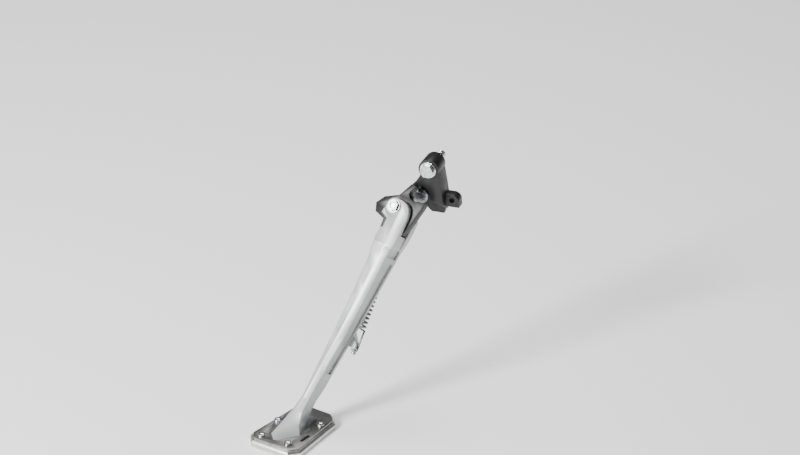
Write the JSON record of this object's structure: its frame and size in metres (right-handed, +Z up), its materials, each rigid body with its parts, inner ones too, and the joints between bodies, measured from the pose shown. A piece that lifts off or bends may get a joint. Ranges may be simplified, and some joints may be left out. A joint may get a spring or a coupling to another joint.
{
  "type": "motorcycle side stand",
  "caption": "Folding motorcycle side stand: forked silver leg on a black frame bracket, over-centre spring and an enlarged clamped foot plate.",
  "frame": {"origin": "midway between the two frame studs, on the bracket's mounting face", "axes": "+X towards the rear of the motorcycle, +Y inboard into its frame, +Z up; the stand is down"},
  "size_m": [0.1571, 0.2311, 0.2547],
  "materials": {
    "bracket_black": "satin powder coat",
    "leg_silver": "satin",
    "base_aluminium": "anodised",
    "clamp_steel": "brushed",
    "zinc_fastener": "bright zinc",
    "screw_stainless": "satin",
    "spring_steel": "zinc",
    "bush_bronze": "plain"
  },
  "bodies": {
    "bracket": {"mount_bracket": "bracket_black", "upper_frame_bolt": "zinc_fastener", "lower_frame_bolt": "zinc_fastener", "spring_anchor_pin": "zinc_fastener", "pivot_bush": "bush_bronze", "outer_thrust_washer": "bush_bronze", "inner_thrust_washer": "bush_bronze"},
    "leg": {"stand_leg": "leg_silver", "pivot_bolt": "zinc_fastener", "pivot_nut": "zinc_fastener", "spring_peg": "zinc_fastener", "base_plate": "base_aluminium", "clamp_plate": "clamp_steel", "clamp_screw_1": "screw_stainless", "clamp_screw_2": "screw_stainless", "clamp_screw_3": "screw_stainless", "clamp_screw_4": "screw_stainless"},
    "spring_top": {"spring_upper_hook": "spring_steel", "spring_coil": "spring_steel"},
    "spring_bottom": {"spring_lower_hook": "spring_steel"}
  },
  "joints": [
    {"name": "fold", "type": "hinge", "parent": "bracket", "child": "leg", "pos_m": [-0.02015, -0.0345, -0.0224], "axis": [-0.1359, -0.815, 0.5633], "range_deg": [0, 90], "stiffness_Nm_per_rad": 0.5, "springref_deg": -57.3},
    {"name": "spring_swing", "type": "hinge", "parent": "bracket", "child": "spring_top", "pos_m": [-0.01789, -0.01083, -0.02223], "axis": [-0.1359, -0.815, 0.5633], "range_deg": [0, 84.14], "deforming": ["spring_upper_hook", "spring_coil"]},
    {"name": "spring_stretch", "type": "slide", "parent": "spring_top", "child": "spring_bottom", "axis": [-0.1406, -0.5469, -0.8253], "range_m": [-0.01036, 0], "deforming": ["spring_lower_hook"]}
  ],
  "couplings": [
    {"joint": "spring_swing", "follows": "fold", "ratio": 0.93377},
    {"joint": "spring_stretch", "follows": "fold", "m_per_rad": -0.0065347}
  ]
}
